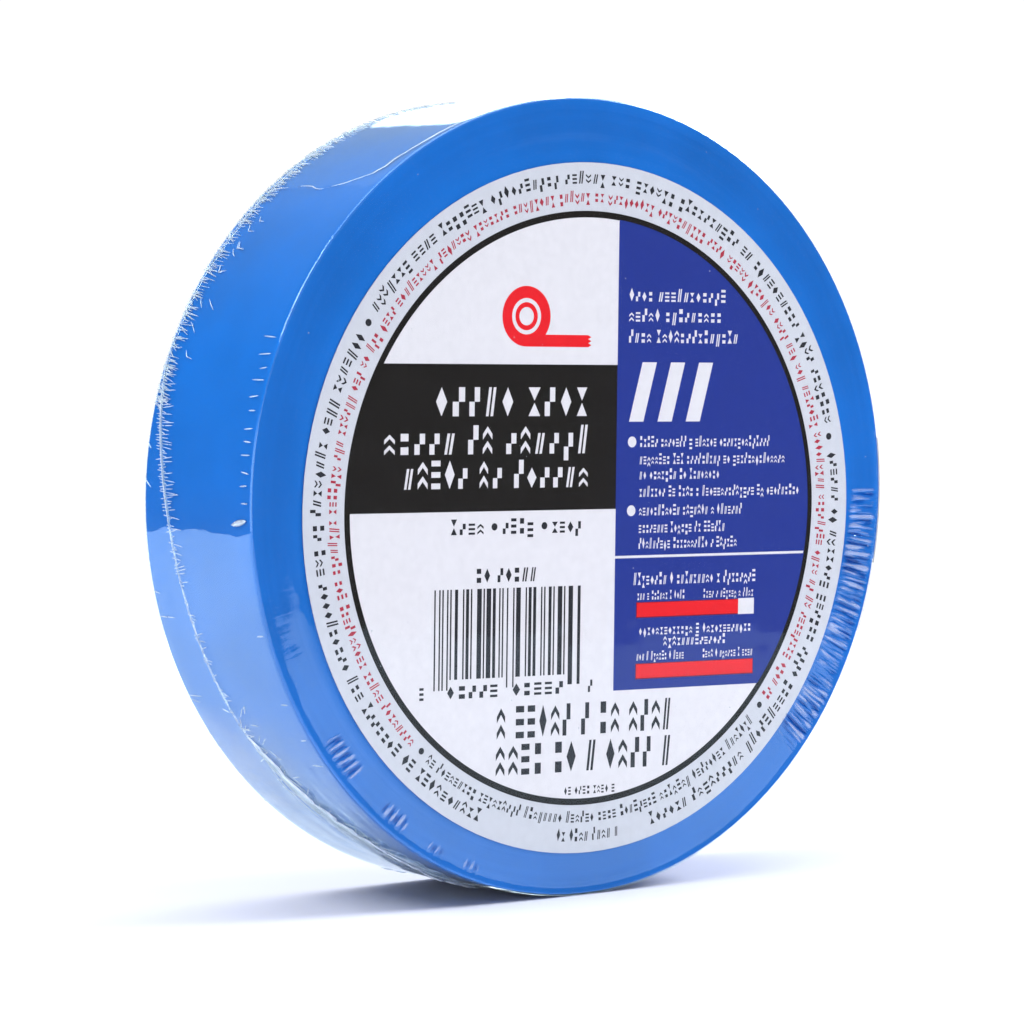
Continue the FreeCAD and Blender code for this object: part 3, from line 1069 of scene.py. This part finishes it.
def dust():
    """Specks of dust on the film over the front face."""
    sides, thickness = 5, 0.03
    points, faces = [], []
    for _ in range(46):
        angle, radius, size = rng.uniform(0, 360), 54 * math.sqrt(rng.random()), rng.uniform(0.04, 0.11)
        x, _, z = around(angle, radius, 0.0)
        y = FILM_FRONT + float(front_depth(np.array([angle]), np.array([radius]))[0])
        first = len(points)
        for k in range(sides):
            reach, turn = size * rng.uniform(0.6, 1.3), k * math.tau / sides
            points.append((x + reach * math.cos(turn), y, z + reach * math.sin(turn)))
        points.append((x, y - thickness, z))
        faces += [(first + k, first + (k + 1) % sides, first + sides) for k in range(sides)]
        faces.append(tuple(range(first + sides - 1, first - 1, -1)))
    film_piece("film_front_dust", points, faces, drawn_film, "film_front", smooth=False)


film_shell("front", FILM_FRONT, 1, 44, front_depth)
film_shell("rear", FILM_REAR, -1, 22, rear_depth)
dust()
folds()
ruffle()
trim_seal()
tear_flap()


# ---- studio and camera

def table():
    """A round white table that the roll stands on."""
    low = cad_box[0].z
    turns = [k * math.tau / FLOOR_SIDES for k in range(FLOOR_SIDES)]
    rim = [(FLOOR_RADIUS * math.cos(turn), FLOOR_RADIUS * math.sin(turn), low) for turn in turns]
    mesh = bpy.data.meshes.new("studio_floor")
    mesh.from_pydata(rim, [], [tuple(range(FLOOR_SIDES))])
    mesh.materials.append(floor_material())
    floor = bpy.data.objects.new("studio_floor", mesh)
    link(floor)


def room():
    """A bright ceiling in a dim room, which the film mirrors. The camera sees plain white instead."""
    n = Nodes("studio", "World", "Generated")
    bpy.context.scene.world = n.owner
    east, north, height = n.add("SeparateXYZ", {0: n.place}).outputs

    def step(value, edge, high, soft, low=0.0):
        """From one level below an edge to another above it."""
        return n.span(value, low, high, edge, edge + soft)

    def toward(way):
        return n.add("VectorMath", {0: n.place, 1: way}, operation="DOT_PRODUCT").outputs["Value"]

    back = step(north, 0.0, 1.0, 0.05)
    backdrop = n.times(back, step(east, BACKDROP_EDGE, BACKDROP, 0.02))
    parts = [
        step(height, CEILING_EDGE, CEILING, 0.02),
        n.times(back, step(east, WASH_EDGE, WASH, 0.01)),
        n.times(backdrop, step(height, BACKDROP_TOP, 0.0, 0.05, 1.0)),
        n.times(step(toward(FRONT_WAY), -0.25, 1.0, 0.3), step(height, FRONT_EDGE, FRONT, 0.1)),
        n.times(step(toward(FILL_WAY), 0.5, FILL, 0.3), step(height, FILL_TOP, 0.0, 0.2, 1.0)),
        n.times(back, step(east, DAWN_EDGE, DAWN, 0.5)),
    ]
    total = ROOM
    for part in parts:
        total = n.plus(total, part)
    light = n.add("Background", {"Color": colour(0.97, 0.98, 1.0), "Strength": total})
    seen = n.add("Background", {"Color": colour(1.0, 1.0, 1.0), "Strength": 1.05})
    by_camera = n.add("LightPath").outputs["Is Camera Ray"]
    n.finish(n.add("MixShader", {0: by_camera, 1: light.outputs[0], 2: seen.outputs[0]}).outputs[0])


# The room's light, as brightness by the part of the sky that it comes from. An edge is the least height, or
# the least distance to the right, of that part on a sphere of radius 1.
ROOM = 0.05
CEILING, CEILING_EDGE = 2.6, 0.848
WASH, WASH_EDGE = 0.12, 0.128
BACKDROP, BACKDROP_EDGE, BACKDROP_TOP = 3.0, 0.44, 0.6
FRONT, FRONT_EDGE, FRONT_WAY = 0.55, 0.1, (0.5, -0.866, 0.0)
FILL, FILL_TOP, FILL_WAY = 2.4, 0.15, (-0.98, -0.2, 0.0)
DAWN, DAWN_EDGE = 0.28, -0.4
FLOOR_RADIUS, FLOOR_SIDES = 0.45, 96


def lamp(name, place, size, power):
    """A soft rectangular light that looks at the roll."""
    light = bpy.data.lights.new(name, "AREA")
    light.size = size
    light.energy = power
    lamp_object = bpy.data.objects.new(name, light)
    lamp_object.location = place
    lamp_object.rotation_euler = (-Vector(place)).to_track_quat("-Z", "Y").to_euler()
    link(lamp_object)


VIEW_AZIMUTH = -37.25
VIEW_ELEVATION = 3.0
VIEW_DISTANCE = 585.0
VIEW_OFFSET = (-1.98, -2.46)
LENS = 147.7


def camera():
    """The camera, at the photograph's viewing angle."""
    azimuth, elevation = math.radians(VIEW_AZIMUTH), math.radians(VIEW_ELEVATION)
    back = Vector((math.sin(azimuth) * math.cos(elevation), -math.cos(azimuth) * math.cos(elevation),
                   math.sin(elevation)))
    right = Vector((0, 0, 1)).cross(back).normalized()
    up = back.cross(right)
    data = bpy.data.cameras.new("camera")
    data.lens = LENS
    data.sensor_width = 36.0
    data.clip_start, data.clip_end = 0.01, 100.0
    view = bpy.data.objects.new("camera", data)
    place = (right * VIEW_OFFSET[0] + up * VIEW_OFFSET[1] + back * VIEW_DISTANCE) * MM
    turn = Matrix((right, up, back)).transposed().to_4x4()
    view.matrix_world = Matrix.Translation(place) @ turn
    link(view)
    bpy.context.scene.camera = view


table()
room()
lamp("key_left", (-0.75, 0.2, 0.85), 0.5, 11.0)
lamp("key_right", (0.9, -0.35, 0.6), 0.4, 14.0)
camera()
bpy.context.scene.view_settings.view_transform = "Standard"
